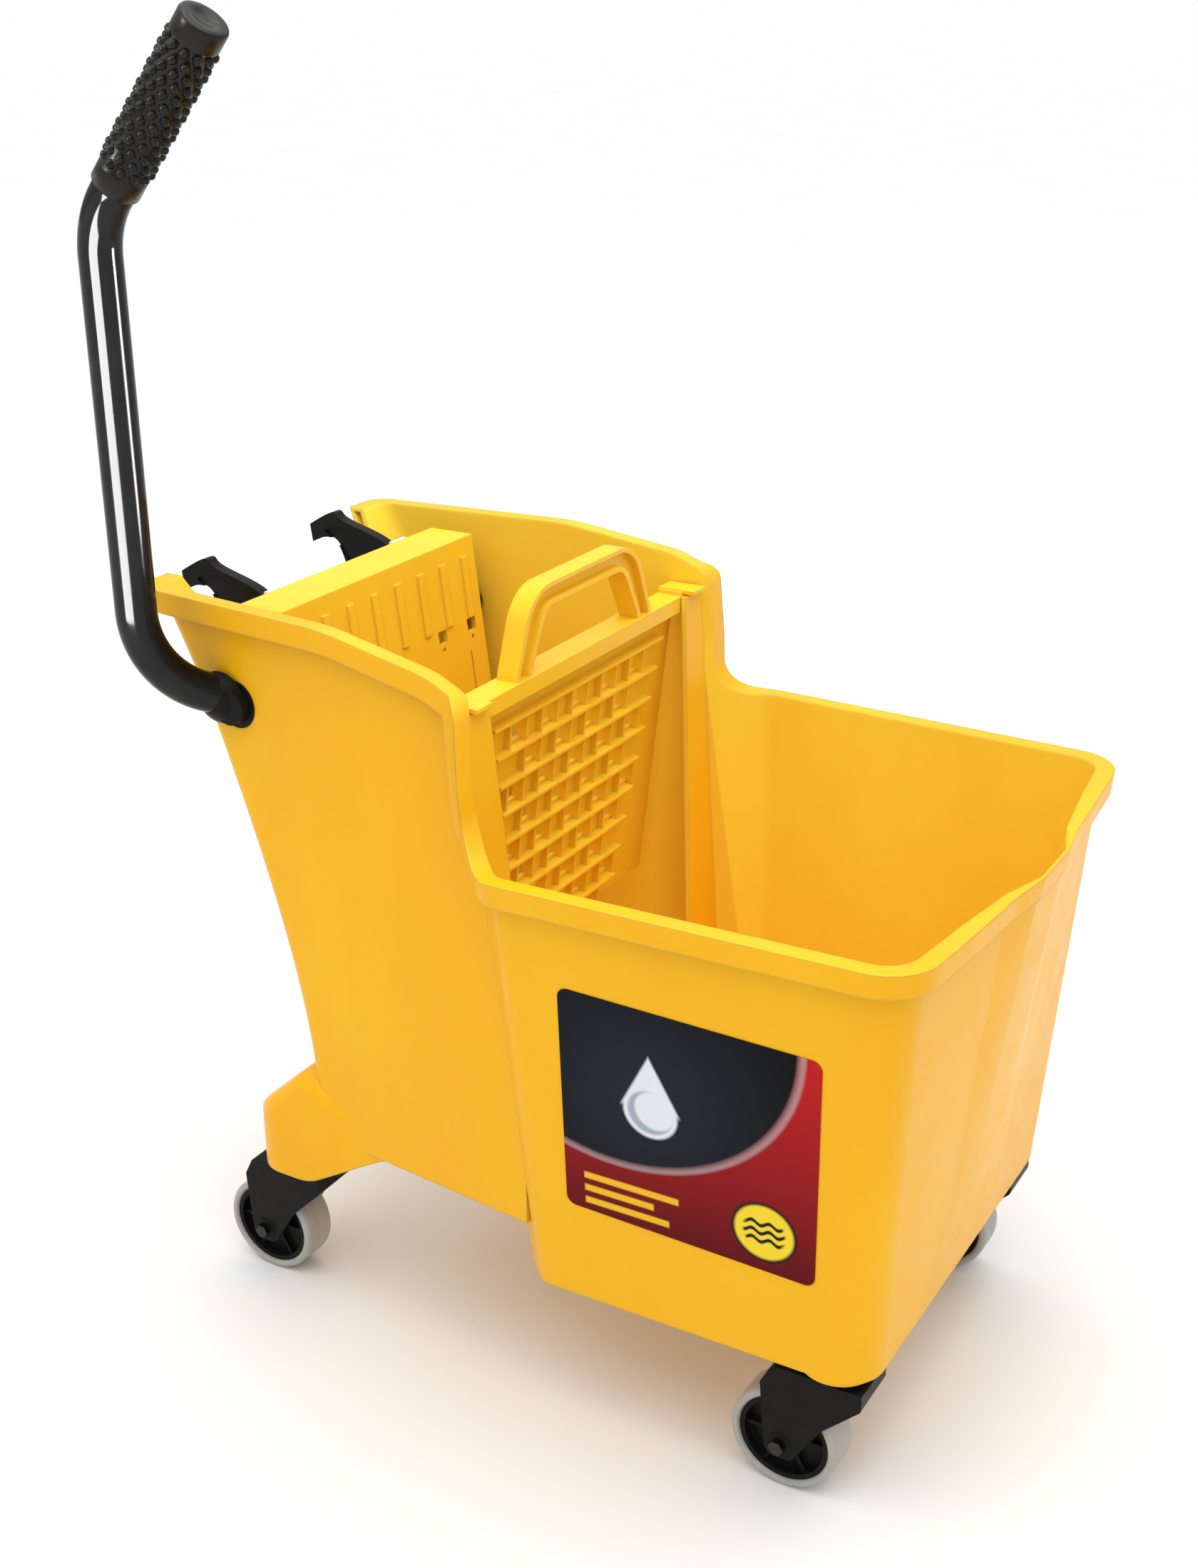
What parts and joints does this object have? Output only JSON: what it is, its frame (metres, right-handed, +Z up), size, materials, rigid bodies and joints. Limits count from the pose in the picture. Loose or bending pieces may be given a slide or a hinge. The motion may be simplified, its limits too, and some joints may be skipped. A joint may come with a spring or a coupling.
{
  "type": "mop bucket with side-press wringer",
  "caption": "Wheeled yellow mop bucket with a built-in side-press wringer, a lever that drives a hinged press plate, and a lift-out grid.",
  "frame": {"origin": "on the floor, under the middle of the bounding box", "axes": "+X towards the pouring nose, +Y away from the lever side, +Z up"},
  "size_m": [0.6414, 0.4112, 0.9333],
  "materials": {
    "bucket_plastic": "satin moulded yellow polyethylene",
    "label_print": "printed film, dark and red, no lettering",
    "black_plastic": "satin black nylon",
    "black_tube": "gloss black coated steel tube",
    "grip_rubber": "charcoal rubber with raised nubs",
    "zinc_steel": "zinc plated steel",
    "black_steel": "black zinc plated steel",
    "pad_plastic": "natural acetal wear pad",
    "tread_rubber": "non-marking grey tread"
  },
  "bodies": {
    "bucket": {"bucket_body": "bucket_plastic", "label_panel": "label_print", "shaft_bush_near": "black_plastic", "shaft_bush_far": "black_plastic", "plate_hinge_rod": "zinc_steel", "stem_socket_front_near": "black_plastic", "stem_socket_front_far": "black_plastic", "stem_socket_rear_near": "black_plastic", "stem_socket_rear_far": "black_plastic"},
    "lever": {"lever_tube": "black_tube", "lever_hub": "black_plastic", "lever_grip": "grip_rubber", "cross_shaft": "zinc_steel", "shaft_collar": "black_plastic", "shaft_end_cap": "black_plastic", "press_cam_near": "black_plastic", "press_cam_far": "black_plastic", "cam_bolts": "zinc_steel"},
    "press_plate": {"press_plate": "bucket_plastic", "press_pads": "pad_plastic"},
    "grid": {"grid_plate": "bucket_plastic"},
    "swivel_front_near": {"caster_stem_front_near": "zinc_steel", "caster_yoke_front_near": "black_plastic", "caster_axle_front_near": "black_steel", "caster_nut_front_near": "black_steel"},
    "wheel_front_near": {"wheel_hub_front_near": "black_plastic", "tyre_front_near": "tread_rubber"},
    "swivel_front_far": {"caster_stem_front_far": "zinc_steel", "caster_yoke_front_far": "black_plastic", "caster_axle_front_far": "black_steel", "caster_nut_front_far": "black_steel"},
    "wheel_front_far": {"wheel_hub_front_far": "black_plastic", "tyre_front_far": "tread_rubber"},
    "swivel_rear_near": {"caster_stem_rear_near": "zinc_steel", "caster_yoke_rear_near": "black_plastic", "caster_axle_rear_near": "black_steel", "caster_nut_rear_near": "black_steel"},
    "wheel_rear_near": {"wheel_hub_rear_near": "black_plastic", "tyre_rear_near": "tread_rubber"},
    "swivel_rear_far": {"caster_stem_rear_far": "zinc_steel", "caster_yoke_rear_far": "black_plastic", "caster_axle_rear_far": "black_steel", "caster_nut_rear_far": "black_steel"},
    "wheel_rear_far": {"wheel_hub_rear_far": "black_plastic", "tyre_rear_far": "tread_rubber"}
  },
  "joints": [
    {"name": "lever_swing", "type": "hinge", "parent": "bucket", "child": "lever", "pos_m": [-0.22265, 0, 0.478], "axis": [0, 1, 0], "range_deg": [0, 80]},
    {"name": "plate_press", "type": "hinge", "parent": "bucket", "child": "press_plate", "pos_m": [-0.16765, 0, 0.236], "axis": [0, 1, 0], "range_deg": [0, 15.3]},
    {"name": "grid_lift", "type": "slide", "parent": "bucket", "child": "grid", "axis": [0, 0, 1], "range_m": [0, 0.3]},
    {"name": "swivel_front_near", "type": "hinge", "parent": "bucket", "child": "swivel_front_near", "pos_m": [0.24735, -0.141, 0.105], "axis": [0, 0, 1], "continuous": true},
    {"name": "wheel_spin_front_near", "type": "hinge", "parent": "swivel_front_near", "child": "wheel_front_near", "pos_m": [0.21535, -0.141, 0.0385], "axis": [0, 1, 0], "continuous": true},
    {"name": "swivel_front_far", "type": "hinge", "parent": "bucket", "child": "swivel_front_far", "pos_m": [0.24735, 0.141, 0.105], "axis": [0, 0, 1], "continuous": true},
    {"name": "wheel_spin_front_far", "type": "hinge", "parent": "swivel_front_far", "child": "wheel_front_far", "pos_m": [0.21535, 0.141, 0.0385], "axis": [0, 1, 0], "continuous": true},
    {"name": "swivel_rear_near", "type": "hinge", "parent": "bucket", "child": "swivel_rear_near", "pos_m": [-0.20565, -0.121, 0.105], "axis": [0, 0, 1], "continuous": true},
    {"name": "wheel_spin_rear_near", "type": "hinge", "parent": "swivel_rear_near", "child": "wheel_rear_near", "pos_m": [-0.23765, -0.121, 0.0385], "axis": [0, 1, 0], "continuous": true},
    {"name": "swivel_rear_far", "type": "hinge", "parent": "bucket", "child": "swivel_rear_far", "pos_m": [-0.20565, 0.121, 0.105], "axis": [0, 0, 1], "continuous": true},
    {"name": "wheel_spin_rear_far", "type": "hinge", "parent": "swivel_rear_far", "child": "wheel_rear_far", "pos_m": [-0.23765, 0.121, 0.0385], "axis": [0, 1, 0], "continuous": true}
  ],
  "couplings": [
    {"joint": "plate_press", "follows": "lever_swing", "ratio": 0.19063}
  ]
}
